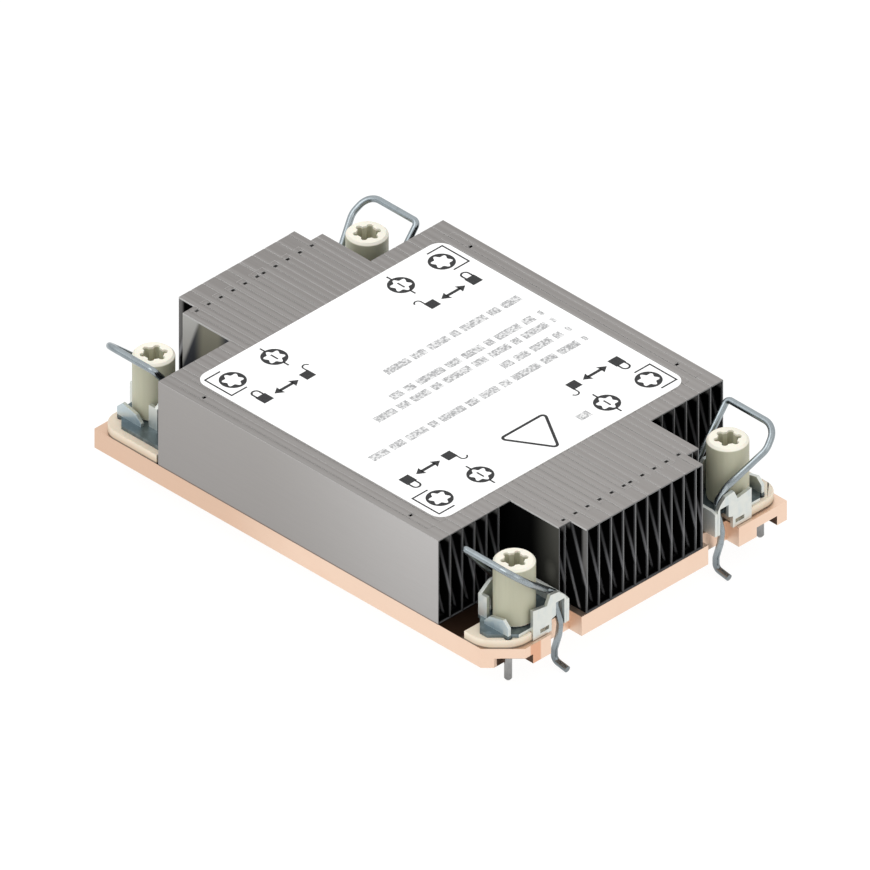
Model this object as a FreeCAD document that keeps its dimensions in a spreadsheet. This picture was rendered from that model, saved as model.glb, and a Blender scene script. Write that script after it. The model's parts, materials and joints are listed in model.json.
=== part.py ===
import FreeCAD, Part
import math
import os
import Sketcher

# Passive processor heatsink for a narrow server socket, in millimetres.
# Origin: centre of the copper base's underside. +X runs along the fins (the air's way), +Z is up.
# The four corners are alike: front is +X, rear is -X, left is +Y, right is -Y.

doc = FreeCAD.newDocument("Heatsink")

SIZES = {
    "base_long": 112.6,
    "base_wide": 78.0,
    "base_thick": 4.5,
    "ear_wide": 13.2,
    "notch_wide": 8.4,
    "notch_deep": 3.5,
    "corner_cut": 6.1,
    "groove_from_side": 2.7,
    "groove_wide": 5.6,
    "groove_long": 4.3,
    "groove_deep": 2.2,
    "groove_round": 1.5,
    "recess_radius": 4.2,
    "cut_past": 1.0,
    "fin_pitch": 1.66,
    "fin_gauge": 0.3,
    "fin_tall": 19.9,
    "fin_seam": 0.1,
    "fin_short": 4.4,
    "slot_back": 5.8,
    "slot_wide": 0.8,
    "block_from_nut": 11.05,
    "label_end": 4.55,
    "label_side": 5.15,
    "label_thick": 0.15,
    "label_round": 3.0,
    "nut_from_end": 6.6,
    "nut_inside": 3.5,
    "nut_radius": 4.23,
    "nut_tall": 13.55,
    "nut_edge": 0.5,
    "nut_foot": 0.35,
    "neck_radius": 2.8,
    "neck_play": 0.3,
    "neck_tip": 0.35,
    "nut_float": 0.45,
    "thread_radius": 1.65,
    "thread_deep": 14.5,
    "thread_cone": 1.0,
    "drive_deep": 3.2,
    "drive_core": 2.05,
    "drive_reach": 2.8,
    "drive_lobe": 0.62,
    "clip_radius": 3.7,
    "clip_gauge": 0.6,
    "clip_groove": 0.55,
    "clip_mouth": 2.4,
    "seat_play": 0.05,
    "pad_thick": 2.0,
    "pad_from_nut": 4.1,
    "pad_from_fins": 0.55,
    "pad_inset": 1.0,
    "pad_round": 4.5,
    "sheet_gauge": 0.8,
    "sheet_inset": 0.7,
    "sheet_near": 5.0,
    "sheet_far": 1.5,
    "sheet_corner": 4.4,
    "sheet_cut": 4.2,
    "sheet_play": 0.1,
    "sheet_from_fins": 0.5,
    "wall_past_nut": 0.7,
    "wall_tall": 7.1,
    "shoulder_out": 4.0,
    "shoulder_dip": 0.6,
    "peak_tall": 8.6,
    "peak_out": 3.0,
    "crest_out": 0.7,
    "crest_dip": 0.3,
    "slope_dip": 1.5,
    "nose_dip": 2.6,
    "slot_tall": 6.1,
    "slot_play": 0.8,
    "slot_lip": 0.4,
    "slot_from_flange": 1.0,
    "vent_long": 2.4,
    "vent_tall": 0.9,
    "vent_below": 0.15,
    "vent_from_far": 2.0,
    "post_from_nut": 5.5,
    "post_past_nut": 4.5,
    "post_tall": 7.8,
    "post_return": 2.4,
    "post_cut": 2.0,
    "post_slope": 2.8,
    "post_near": 1.7,
    "pivot_out": 2.5,
    "pivot_wall": 1.4,
    "window_wide": 1.5,
    "window_tall": 2.5,
    "window_from_far": 1.3,
    "window_rise": 0.2,
    "tab_from_side": 3.8,
    "tab_long": 6.6,
    "tab_tall": 4.0,
    "tab_cut": 1.4,
    "tab_from_wall": 0.9,
    "tab_slant": 0.9,
    "tab_drop": 1.0,
    "wire_radius": 0.7,
    "wire_play": 0.1,
    "hinge_inside": 7.1,
    "hinge_rise": 2.0,
    "loop_rise": 14.8,
    "loop_lean": 14.0,
    "loop_inside": 7.0,
    "loop_outside": 7.4,
    "hook_out": 7.5,
    "hook_down": 4.5,
    "pin_from_end": 3.0,
    "pin_from_side": 4.4,
    "pin_radius": 0.8,
    "pin_down": 3.2,
    "pin_play": 0.02,
    "pin_point": 0.3,
    "pin_taper": 0.4,
}

sheet = doc.addObject("Spreadsheet::Sheet", "Sizes")
for row, (alias, size) in enumerate(SIZES.items(), start=1):
    sheet.set("A%d" % row, alias)
    sheet.set("B%d" % row, str(size))
    sheet.setAlias("B%d" % row, alias)
doc.recompute()

CORNERS = {
    "front_left": (1, 1),
    "front_right": (1, -1),
    "rear_left": (-1, 1),
    "rear_right": (-1, -1),
}
sub_parts = []

# Places that several pieces share, each worked out from the sheet. They count from the centre of the base.
END = "@base_long/2"
SIDE = "@base_wide/2"
EAR_INSIDE = "(@base_wide/2-@ear_wide)"
TONGUE_SIDE = "(@base_wide/2-@ear_wide-@notch_wide)"
NUT_X = "(@base_long/2-@nut_from_end)"
NUT_Y = "(@base_wide/2-@ear_wide+@nut_inside)"
PIN_X = "(@base_long/2-@pin_from_end)"
PIN_Y = "(@base_wide/2-@pin_from_side)"
PAD_TOP = "(@base_thick+@pad_thick)"
FLANGE_TOP = "(@base_thick+@pad_thick+@sheet_gauge)"
NUT_SEAT = "(@base_thick+@pad_thick+@sheet_gauge+@seat_play)"
NUT_TOP = "(@base_thick+@pad_thick+@sheet_gauge+@seat_play+@nut_tall)"
FIN_TOP = "(@base_thick+@fin_tall)"
TIP_END = "@base_long/2"
STEP_END = "(@base_long/2-@fin_short)"
BLOCK_END = "(@base_long/2-@nut_from_end-@block_from_nut)"
HINGE_Y = "(@base_wide/2-@ear_wide+@nut_inside-@hinge_inside)"
HINGE_Z = "(@base_thick+@pad_thick+@hinge_rise)"
OUTER_WALL = "(@base_long/2-@sheet_inset-@sheet_gauge)"
INNER_WALL = "(@base_long/2-@nut_from_end-@post_from_nut)"
WALL_FAR = "(@base_wide/2-@ear_wide+@nut_inside+@wall_past_nut)"
SHEET_NEAR = "(@base_wide/2-@ear_wide-@sheet_near)"
SHEET_FAR = "(@base_wide/2-@sheet_far)"


def size(alias):
    return float(getattr(sheet, alias))


def named(text):
    """Turns each @name of an expression into the sheet's cell."""
    return text.replace("@", "Sizes.")


def number(text):
    value = sheet.evalExpression(named(text))
    return float(getattr(value, "Value", value))


def new_body(label):
    body = doc.addObject("PartDesign::Body", label)
    body.Label = label
    body.AllowCompound = True
    sub_parts.append(body)
    return body


def origin_part(body, role):
    return next(item for item in body.Origin.OriginFeatures if item.Role == role)


def new_sketch(body, name, plane, offset):
    sketch = body.newObject("Sketcher::SketchObject", name)
    sketch.AttachmentSupport = (origin_part(body, plane), [""])
    sketch.MapMode = "FlatFace"
    sketch.setExpression("AttachmentOffset.Base.z", named(offset))
    return sketch


def place_point(sketch, geometry, point, across, up):
    """Ties one point of the sketch to two expressions, measured from the sketch's origin."""
    for kind, text, axis in (("DistanceX", across, -2), ("DistanceY", up, -1)):
        if text == "0":
            sketch.addConstraint(Sketcher.Constraint("PointOnObject", geometry, point, axis))
            continue
        index = sketch.addConstraint(Sketcher.Constraint(kind, -1, 1, geometry, point, number(text)))
        sketch.setExpression("Constraints[%d]" % index, named(text))


def add_outline(sketch, points):
    """A closed outline of straight lines through points given as pairs of expressions."""
    first = sketch.GeometryCount
    corners = [FreeCAD.Vector(number(across), number(up), 0) for across, up in points]
    count = len(corners)
    for index in range(count):
        sketch.addGeometry(Part.LineSegment(corners[index], corners[(index + 1) % count]), False)
    for index in range(count):
        after = first + (index + 1) % count
        sketch.addConstraint(Sketcher.Constraint("Coincident", first + index, 2, after, 1))
    for index, (across, up) in enumerate(points):
        place_point(sketch, first + index, 1, across, up)


def add_box(sketch, left, right, low, high):
    add_outline(sketch, [(left, low), (right, low), (right, high), (left, high)])


def add_circle(sketch, across, up, radius):
    centre = FreeCAD.Vector(number(across), number(up), 0)
    circle = Part.Circle(centre, FreeCAD.Vector(0, 0, 1), number(radius))
    geometry = sketch.addGeometry(circle, False)
    index = sketch.addConstraint(Sketcher.Constraint("Radius", geometry, number(radius)))
    sketch.setExpression("Constraints[%d]" % index, named(radius))
    place_point(sketch, geometry, 3, across, up)


def pad(body, sketch, length, both_ways=False, backwards=False):
    feature = body.newObject("PartDesign::Pad", sketch.Name + "_pad")
    feature.Profile = sketch
    feature.setExpression("Length", named(length))
    feature.Midplane = both_ways
    feature.Reversed = backwards
    return feature


def pocket(body, sketch, length="", backwards=False):
    """Cuts the sketch to a depth, or right through both ways where no depth is given."""
    feature = body.newObject("PartDesign::Pocket", sketch.Name + "_cut")
    feature.Profile = sketch
    if length:
        feature.setExpression("Length", named(length))
        feature.Reversed = backwards
    else:
        feature.Type = "ThroughAll"
        feature.Midplane = True
    return feature


def turn(body, sketch):
    """Turns the sketch round its own upright axis."""
    feature = body.newObject("PartDesign::Revolution", sketch.Name + "_turned")
    feature.Profile = sketch
    feature.ReferenceAxis = (sketch, ["V_Axis"])
    feature.Angle = 360
    return feature


def round_edges(body, name, base, radius, chosen):
    """Rounds the base feature's edges that the test picks."""
    doc.recompute()
    names = ["Edge%d" % (i + 1) for i, edge in enumerate(base.Shape.Edges) if chosen(edge)]
    feature = body.newObject("PartDesign::Fillet", name)
    feature.Base = (base, names)
    feature.setExpression("Radius", named(radius))
    return feature


def upright_at(x, y):
    """Picks the upright edge that stands at one place."""
    def chosen(edge):
        box = edge.BoundBox
        straight = box.XLength < 1e-6 and box.YLength < 1e-6
        return straight and abs(box.XMin - x) < 1e-3 and abs(box.YMin - y) < 1e-3
    return chosen


def signed(sign, text):
    return text if sign > 0 else "-(%s)" % text


# Base plate: a copper slab with four ears, a tongue at each end and a notch beside each ear.
# Under each ear a round recess for the nut's clip opens into a groove that runs out at the end.
def make_base():
    body = new_body("base_plate")
    outline = []
    for sx, sy in ((1, -1), (1, 1), (-1, 1), (-1, -1)):
        run = [
            (signed(sx, END), signed(sy, TONGUE_SIDE)),
            (signed(sx, END + "-@notch_deep"), signed(sy, TONGUE_SIDE)),
            (signed(sx, END + "-@notch_deep"), signed(sy, EAR_INSIDE)),
            (signed(sx, END), signed(sy, EAR_INSIDE)),
        ]
        if (sx, sy) == (1, -1):
            run.append((END, "-(%s-@corner_cut)" % SIDE))
            run.append((END + "-@corner_cut", "-(%s)" % SIDE))
        else:
            run.append((signed(sx, END), signed(sy, SIDE)))
        # Corners alternate between starting at the tongue and starting at the side.
        outline += run[::-1] if sx * sy < 0 else run
    sketch = new_sketch(body, "base_outline", "XY_Plane", "0")
    add_outline(sketch, outline)
    pad(body, sketch, "@base_thick")
    holes = new_sketch(body, "ear_holes", "XY_Plane", "0")
    recesses = new_sketch(body, "clip_recesses", "XY_Plane", "0")
    grooves = new_sketch(body, "ear_grooves", "XY_Plane", "0")
    far = "%s-@groove_from_side" % SIDE
    near = "%s-@groove_from_side-@groove_wide" % SIDE
    for sx, sy in CORNERS.values():
        add_circle(holes, signed(sx, NUT_X), signed(sy, NUT_Y), "@neck_radius+@neck_play")
        add_circle(holes, signed(sx, PIN_X), signed(sy, PIN_Y), "@pin_radius+@pin_play")
        add_circle(recesses, signed(sx, NUT_X), signed(sy, NUT_Y), "@recess_radius")
        # Under the cut corner the groove runs out at the side too.
        outside = SIDE if (sx, sy) == (1, -1) else far
        add_box(grooves, signed(sx, END + "-@groove_long"), signed(sx, END + "+@cut_past"),
                signed(sy, near), signed(sy, outside))
    pocket(body, holes)
    pocket(body, recesses, "@groove_deep", backwards=True)
    cut = pocket(body, grooves, "@groove_deep", backwards=True)
    spots = [(sx * number(END + "-@groove_long"), sy * number(far)) for sx, sy in CORNERS.values()
             if (sx, sy) != (1, -1)]
    round_edges(body, "groove_corners", cut, "@groove_round",
                lambda edge: any(upright_at(x, y)(edge) for x, y in spots))


# Fins: folded channels with a foot and a cap, soldered side by side on the base.
# Every second fin is shorter, and there its neighbour's cap and foot are two pitches wide.
FIN_COUNT = round(number("@base_wide/@fin_pitch")) + 1


def fin_place(index):
    return "(%g)*@fin_pitch" % (index - (FIN_COUNT - 1) / 2)


def fin_row(label, members, end, toward, wide=False, slotted=False):
    """A run of equal fins. toward is the side to which cap and foot are folded, 0 for a plain plate."""
    body = new_body(label)
    middle = fin_place(members[0])
    low = "@base_thick"
    high = FIN_TOP
    back = "%s-(%d)*@fin_gauge/2" % (middle, toward)
    front = "%s+(%d)*@fin_gauge/2" % (middle, toward)
    fold = "%s+(%d)*(@fin_pitch-@fin_gauge/2-@fin_seam)" % (middle, toward)
    reach = fold + "+(%d)*@fin_pitch" % toward if wide else fold
    section = new_sketch(body, label + "_section", "YZ_Plane", "0")
    if toward:
        add_outline(section, [
            (back, low), (reach, low), (reach, low + "+@fin_gauge"), (front, low + "+@fin_gauge"),
            (front, high + "-@fin_gauge"), (reach, high + "-@fin_gauge"), (reach, high), (back, high)])
    else:
        add_box(section, middle + "-@fin_gauge/2", middle + "+@fin_gauge/2", low, high)
    steps = [pad(body, section, "2*(%s)" % end, both_ways=True)]
    if wide:
        waist = new_sketch(body, label + "_waist", "XY_Plane", "0")
        shorter = end + "-@fin_short"
        add_box(waist, "-(%s)" % shorter, shorter, fold, reach + "+(%d)*@fin_seam" % toward)
        steps.append(pocket(body, waist))
    if slotted:
        slots = new_sketch(body, label + "_slots", "XY_Plane", high)
        centre = {STEP_END: TIP_END}.get(end, end) + "-@slot_back"
        for sign in (1, -1):
            add_box(slots, signed(sign, centre + "-@slot_wide/2"), signed(sign, centre + "+@slot_wide/2"),
                    "%s+(%d)*(@fin_gauge/2+@fin_seam)" % (middle, toward),
                    "%s+(%d)*(@fin_pitch-@fin_gauge/2-2*@fin_seam)" % (middle, toward))
        steps.append(pocket(body, slots, "2*@fin_gauge"))
    if len(members) > 1:
        row = body.newObject("PartDesign::LinearPattern", label + "_row")
        row.Originals = steps
        row.Direction = (origin_part(body, "Y_Axis"), [""])
        row.setExpression("Length", named("%d*@fin_pitch" % (members[-1] - members[0])))
        row.Occurrences = len(members)
        body.Tip = row


def make_fins():
    """Tip fins stand on the tongue, step fins reach to the brackets and block fins do the rest."""
    half_pitch = size("fin_pitch") / 2
    middle = FIN_COUNT // 2
    tips = number(TONGUE_SIDE)
    steps = number(SHEET_NEAR + "-@sheet_from_fins")
    reach = [abs(number(fin_place(index))) + half_pitch for index in range(FIN_COUNT)]
    right = range(middle)
    left = range(middle + 1, FIN_COUNT)
    block_right = [index for index in right if reach[index] > steps]
    step_right = [index for index in right if tips < reach[index] <= steps]
    tip_right = [index for index in right if reach[index] <= tips]
    tip_left = [index for index in left if reach[index] <= tips]
    step_left = [index for index in left if tips < reach[index] <= steps]
    block_left = [index for index in left if reach[index] > steps]
    fin_row("side_fin_right", block_right[:1], BLOCK_END, 1, wide=True)
    fin_row("block_fins_right", block_right[2::2], BLOCK_END, 1, wide=True)
    fin_row("relieved_block_fins_right", block_right[1::2], BLOCK_END + "-@fin_short", 1, slotted=True)
    fin_row("step_fin_right", step_right[:1], STEP_END, 1)
    fin_row("slotted_step_fin_right", step_right[1:], STEP_END, 1, slotted=True)
    fin_row("wing_fins_right", tip_right[0::2], TIP_END, 1, wide=True)
    fin_row("relieved_wing_fins_right", tip_right[1::2], STEP_END, 1, slotted=True)
    fin_row("middle_fin", [middle], TIP_END, 0)
    fin_row("relieved_wing_fins_left", tip_left[0:-1:2], STEP_END, -1, slotted=True)
    fin_row("wing_fins_left", tip_left[1:-1:2], TIP_END, -1, wide=True)
    fin_row("tip_fin_left", tip_left[-1:], TIP_END, -1, slotted=True)
    fin_row("step_fins_left", step_left, STEP_END, -1)
    fin_row("relieved_block_fins_left", block_left[0:-1:2], BLOCK_END + "-@fin_short", -1, slotted=True)
    fin_row("block_fins_left", block_left[1:-1:2], BLOCK_END, -1, wide=True)
    fin_row("side_fin_left", block_left[-1:], BLOCK_END, -1, wide=True)


# Label: a thin sheet with round corners on the closed top of the fins.
def make_label():
    body = new_body("label_sheet")
    outline = new_sketch(body, "label_outline", "XY_Plane", FIN_TOP)
    along = BLOCK_END + "-@label_end"
    across = SIDE + "-@label_side"
    add_box(outline, "-(%s)" % along, along, "-(%s)" % across, across)
    blank = pad(body, outline, "@label_thick")
    round_edges(body, "label_corners", blank, "@label_round", lambda edge: edge.BoundBox.ZLength > 1e-3)


# Nut: a plastic post with a six-lobed drive, turning in the ear on a thinner neck.
def make_nut(corner, sx, sy):
    body = new_body("nut_" + corner)
    groove_top = "@groove_deep-@nut_float"
    groove_low = "@groove_deep-@nut_float-@clip_gauge-2*@seat_play"
    tip = groove_low + "-@neck_tip"
    groove = "@neck_radius-@clip_groove"
    profile = new_sketch(body, "nut_profile_" + corner, "XZ_Plane", "0")
    add_outline(profile, [
        ("@thread_radius", tip), ("@neck_radius", tip), ("@neck_radius", groove_low), (groove, groove_low),
        (groove, groove_top), ("@neck_radius", groove_top), ("@neck_radius", NUT_SEAT),
        ("@nut_radius-@nut_foot", NUT_SEAT), ("@nut_radius", NUT_SEAT + "+@nut_foot"),
        ("@nut_radius", NUT_TOP + "-@nut_edge"), ("@nut_radius-@nut_edge", NUT_TOP),
        ("0", NUT_TOP), ("0", tip + "+@thread_deep"), ("@thread_radius", tip + "+@thread_deep-@thread_cone")])
    turn(body, profile)
    core = new_sketch(body, "drive_core_" + corner, "XY_Plane", NUT_TOP)
    add_circle(core, "0", "0", "@drive_core")
    pocket(body, core, "@drive_deep")
    lobe = new_sketch(body, "drive_lobe_" + corner, "XY_Plane", NUT_TOP)
    add_circle(lobe, "@drive_reach-@drive_lobe", "0", "@drive_lobe")
    lobe_cut = pocket(body, lobe, "@drive_deep")
    star = body.newObject("PartDesign::PolarPattern", "drive_star_" + corner)
    star.Originals = [lobe_cut]
    star.Axis = (origin_part(body, "Z_Axis"), [""])
    star.Angle = 360
    star.Occurrences = 6
    body.Tip = star
    body.setExpression(".Placement.Base.x", named(signed(sx, NUT_X)))
    body.setExpression(".Placement.Base.y", named(signed(sy, NUT_Y)))


# Clip: an open steel ring in the neck's groove, in the ear's recess, which keeps the nut in its ear.
def make_clip(corner, sx, sy):
    body = new_body("nut_clip_" + corner)
    low = "@groove_deep-@nut_float-@clip_gauge-@seat_play"
    ring = new_sketch(body, "clip_ring_" + corner, "XY_Plane", low)
    add_circle(ring, "0", "0", "@clip_radius")
    add_circle(ring, "0", "0", "@neck_radius-@clip_groove+@seat_play")
    pad(body, ring, "@clip_gauge")
    mouth = new_sketch(body, "clip_mouth_" + corner, "XY_Plane", low)
    add_box(mouth, signed(-sx, "@clip_radius+@cut_past"), "0", "-@clip_mouth/2", "@clip_mouth/2")
    pocket(body, mouth)
    body.setExpression(".Placement.Base.x", named(signed(sx, NUT_X)))
    body.setExpression(".Placement.Base.y", named(signed(sy, NUT_Y)))


# Pad: the pale plastic plate between each ear and its bracket.
def make_pad(corner, sx, sy):
    body = new_body("ear_pad_" + corner)
    start = NUT_X + "-@pad_from_nut" if sx > 0 else BLOCK_END + "+@pad_from_fins"
    end = END + "-@pad_inset"
    wall = OUTER_WALL + "-@sheet_play"
    past_wall = WALL_FAR + "+@sheet_play"
    points = [(start, EAR_INSIDE), (wall, EAR_INSIDE), (wall, past_wall), (end, past_wall)]
    if (sx, sy) == (1, -1):
        points.append((end, SIDE + "-@corner_cut+@pad_inset"))
        points.append((END + "-@corner_cut", SIDE))
    else:
        points.append((end, SIDE))
    points.append((start, SIDE))
    sketch = new_sketch(body, "pad_outline_" + corner, "XY_Plane", "@base_thick")
    add_outline(sketch, [(signed(sx, across), signed(sy, up)) for across, up in points])
    add_circle(sketch, signed(sx, NUT_X), signed(sy, NUT_Y), "@neck_radius+@neck_play")
    add_circle(sketch, signed(sx, PIN_X), signed(sy, PIN_Y), "@pin_radius+@pin_play")
    plate = pad(body, sketch, "@pad_thick")
    if (sx, sy) != (1, -1):
        corner_edge = upright_at(sx * number(end), sy * number(SIDE))
        round_edges(body, "pad_corner_" + corner, plate, "@pad_round", corner_edge)


# Bracket: one folded steel sheet with a slotted outer wall, an inner wall for the wire's pivot and a tab.
def make_bracket(corner, sx, sy):
    body = new_body("wire_bracket_" + corner)
    near_edge = HINGE_Y + "+@hinge_rise+@slot_from_flange"
    slot_side = OUTER_WALL + "-2*@wire_radius-@slot_play"
    outside = OUTER_WALL + "+@sheet_gauge"
    outline = [
        (INNER_WALL, SHEET_NEAR), (slot_side, SHEET_NEAR), (slot_side, near_edge),
        (outside, near_edge), (outside, WALL_FAR), (OUTER_WALL, WALL_FAR),
        (OUTER_WALL, SHEET_FAR + "-@sheet_corner"), (OUTER_WALL + "-@sheet_corner", SHEET_FAR)]
    if sx > 0:
        outline += [(INNER_WALL + "+@sheet_cut", SHEET_FAR), (INNER_WALL, SHEET_FAR + "-@sheet_cut")]
    else:
        # The rear brackets reach back to the fins, as the pads under them do.
        start = BLOCK_END + "+@pad_from_fins+@sheet_play"
        ear = EAR_INSIDE + "+@sheet_play"
        outline += [(start, SHEET_FAR), (start, ear), (INNER_WALL, ear)]
    flange = new_sketch(body, "bracket_floor_" + corner, "XY_Plane", PAD_TOP)
    add_outline(flange, [(signed(sx, across), signed(sy, up)) for across, up in outline])
    add_circle(flange, signed(sx, NUT_X), signed(sy, NUT_Y), "@neck_radius+@neck_play")
    pad(body, flange, "@sheet_gauge")
    outer_plane = signed(sx, OUTER_WALL)
    outer = new_sketch(body, "outer_wall_" + corner, "YZ_Plane", outer_plane)
    foot = "@base_thick+@sheet_play"
    wall_top = "@base_thick+@wall_tall"
    peak = "@base_thick+@peak_tall"
    profile = [
        (WALL_FAR, foot), (WALL_FAR, wall_top), (HINGE_Y + "+@shoulder_out", wall_top + "-@shoulder_dip"),
        (HINGE_Y + "+@peak_out", peak), (HINGE_Y + "+@crest_out", peak + "-@crest_dip"),
        (HINGE_Y + "-@crest_out", peak + "-@slope_dip"), (SHEET_NEAR, peak + "-@nose_dip"),
        (SHEET_NEAR, foot)]
    add_outline(outer, [(signed(sy, across), up) for across, up in profile])
    pad(body, outer, "@sheet_gauge", backwards=sx < 0)
    slot = new_sketch(body, "outer_slot_" + corner, "YZ_Plane", outer_plane)
    near = HINGE_Y + "-@wire_radius-@wire_play"
    middle = HINGE_Y + "+@wire_radius+@slot_play"
    far = HINGE_Y + "+@wire_radius+@hinge_rise"
    below = "@base_thick-@cut_past"
    profile = [
        (near, below), (near, "@base_thick+@slot_tall"), (middle, "@base_thick+@slot_tall"),
        (middle, FLANGE_TOP + "+@slot_lip"), (far, FLANGE_TOP), (far, below)]
    add_outline(slot, [(signed(sy, across), up) for across, up in profile])
    pocket(body, slot, "2*@sheet_gauge", backwards=sx > 0)
    vent = new_sketch(body, "outer_vent_" + corner, "YZ_Plane", outer_plane)
    vent_low = PAD_TOP + "-@vent_tall-@vent_below"
    vent_far = WALL_FAR + "-@vent_from_far"
    vent_near = vent_far + "-@vent_long"
    add_box(vent, signed(sy, vent_near), signed(sy, vent_far), vent_low, vent_low + "+@vent_tall")
    pocket(body, vent, "2*@sheet_gauge", backwards=sx > 0)
    inner = new_sketch(body, "inner_wall_" + corner, "YZ_Plane", signed(sx, INNER_WALL))
    post_far = NUT_Y + "+@post_past_nut"
    post_top = PAD_TOP + "+@post_tall"
    pivot_top = HINGE_Z + "+@wire_radius+@pivot_wall"
    profile = [
        (post_far, PAD_TOP), (post_far, post_top + "-@post_cut"), (post_far + "-@post_slope", post_top),
        (NUT_Y + "-@post_near", post_top), (HINGE_Y + "+@pivot_out", pivot_top),
        (SHEET_NEAR, pivot_top), (SHEET_NEAR, PAD_TOP)]
    add_outline(inner, [(signed(sy, across), up) for across, up in profile])
    add_circle(inner, signed(sy, HINGE_Y), HINGE_Z, "@wire_radius+@wire_play")
    window_far = post_far + "-@window_from_far"
    window_near = window_far + "-@window_wide"
    window_low = FLANGE_TOP + "+@window_rise"
    window_top = window_low + "+@window_tall"
    add_box(inner, signed(sy, window_near), signed(sy, window_far), window_low, window_top)
    pad(body, inner, "@sheet_gauge", backwards=sx < 0)
    fold = new_sketch(body, "post_return_" + corner, "XZ_Plane", signed(-sy, post_far))
    fold_top = post_top + "-@post_cut"
    add_box(fold, signed(sx, INNER_WALL), signed(sx, INNER_WALL + "+@post_return"), PAD_TOP, fold_top)
    pad(body, fold, "@sheet_gauge", backwards=sy < 0)
    tab = new_sketch(body, "tab_" + corner, "XZ_Plane", signed(-sy, SIDE + "-@tab_from_side"))
    tab_end = OUTER_WALL + "-@tab_from_wall"
    tab_top = PAD_TOP + "+@tab_tall"
    profile = [
        (tab_end + "-@tab_long", PAD_TOP), (tab_end, PAD_TOP), (tab_end, tab_top + "-@tab_cut"),
        (tab_end + "-@tab_cut", tab_top),
        (tab_end + "-@tab_long+@tab_cut", tab_top + "-@tab_slant"),
        (tab_end + "-@tab_long", tab_top + "-@tab_cut-@tab_drop")]
    add_outline(tab, [(signed(sx, across), up) for across, up in profile])
    pad(body, tab, "@sheet_gauge", backwards=sy < 0)


# Pin: a plain locating pin through ear and pad, standing out below the ear.
def make_pin(corner, sx, sy):
    body = new_body("guide_pin_" + corner)
    profile = new_sketch(body, "pin_profile_" + corner, "XZ_Plane", "0")
    top = PAD_TOP + "-@sheet_play"
    add_outline(profile, [
        ("0", "-@pin_down"), ("@pin_radius-@pin_point", "-@pin_down"),
        ("@pin_radius", "-@pin_down+@pin_taper"), ("@pin_radius", top), ("0", top)])
    turn(body, profile)
    body.setExpression(".Placement.Base.x", named(signed(sx, PIN_X)))
    body.setExpression(".Placement.Base.y", named(signed(sy, PIN_Y)))


def rounded_path(stations):
    """Straight runs joined by arcs. Each station is a point and the radius of its bend."""
    edges = []
    last = stations[0][0]
    for (before, _), (point, radius), (after, _) in zip(stations, stations[1:], stations[2:]):
        back = (before - point).normalize()
        ahead = (after - point).normalize()
        half_turn = (math.pi - back.getAngle(ahead)) / 2
        cut = radius * math.tan(half_turn)
        start = point + back * cut
        end = point + ahead * cut
        if (start - last).dot(back) > 0:
            raise RuntimeError("a bend of %.1f has no room at %s" % (radius, point))
        inward = (back + ahead).normalize()
        middle = point + inward * (radius / math.cos(half_turn) - radius)
        edges.append(Part.LineSegment(last, start).toShape())
        edges.append(Part.Arc(start, middle, end).toShape())
        last = end
    edges.append(Part.LineSegment(last, stations[-1][0]).toShape())
    return Part.Wire(edges)


# Wire: a bent steel loop that leans out over the nut, pivots in the bracket and hooks under the ear.
# Each station is counted from the pivot: along X from the nut's axis, then outward, then up.
def make_wire(corner, sx, sy):
    radius = size("wire_radius")
    hinge_y = number(HINGE_Y)
    hinge_z = number(HINGE_Z)
    nut_x = number(NUT_X)
    lean = size("loop_lean")
    rise = size("loop_rise")
    inner = -size("loop_inside")
    outer = size("loop_outside")
    stub = number(INNER_WALL + "+@sheet_gauge-(%s)" % NUT_X) + 0.6
    leg = number(OUTER_WALL + "-@wire_radius-0.2-(%s)" % NUT_X)
    foot_x = number(END + "-@notch_deep+@wire_radius+@wire_play-(%s)" % NUT_X)
    foot_z = -size("hook_down") - hinge_z
    route = [
        ((stub, 0, 0), 0), ((inner, 0, 0), 1.0), ((inner, 3.4, 1.5), 1.6), ((inner, lean, rise), 1.0),
        ((outer - 1.1, lean, rise), 3.6), ((outer, lean - 3.6, rise - 3.2), 4.0), ((leg, 2.8, 5.1), 2.6),
        ((leg, 0, 2.9), 1.6), ((leg, 0, 0), 3.0), ((leg + 1.3, 0, -3.5), 2.6), ((leg + 0.9, 0, -6.6), 4.0),
        ((foot_x, 0, -10.5), 3.0), ((foot_x, 0, foot_z), 1.3), ((size("hook_out"), 0, foot_z - 0.6), 0)]
    stations = [(FreeCAD.Vector(sx * (nut_x + along), sy * (hinge_y + out), hinge_z + up), bend)
                for (along, out, up), bend in route]
    path = rounded_path(stations)
    start = stations[0][0]
    circle = Part.makeCircle(radius, start, stations[1][0] - start)
    tube = path.makePipeShell([Part.Wire(circle)], True, False)
    expected = math.pi * radius ** 2 * path.Length
    if abs(tube.Volume / expected - 1) > 0.01:
        raise RuntimeError("wire %s: volume %.2f, expected %.2f" % (corner, tube.Volume, expected))
    feature = doc.addObject("Part::Feature", "wire_bail_" + corner)
    feature.Label = "wire_bail_" + corner
    feature.Shape = tube
    feature.Placement = FreeCAD.Placement()
    sub_parts.append(feature)


def check_document():
    for item in doc.Objects:
        if "Invalid" in item.State or "Error" in item.State:
            raise RuntimeError("%s did not build: %s" % (item.Label, item.State))
    for item in sub_parts:
        if item.Shape.isNull() or not item.Shape.isValid() or not item.Shape.Solids:
            raise RuntimeError("%s has no valid solid" % item.Label)


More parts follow.
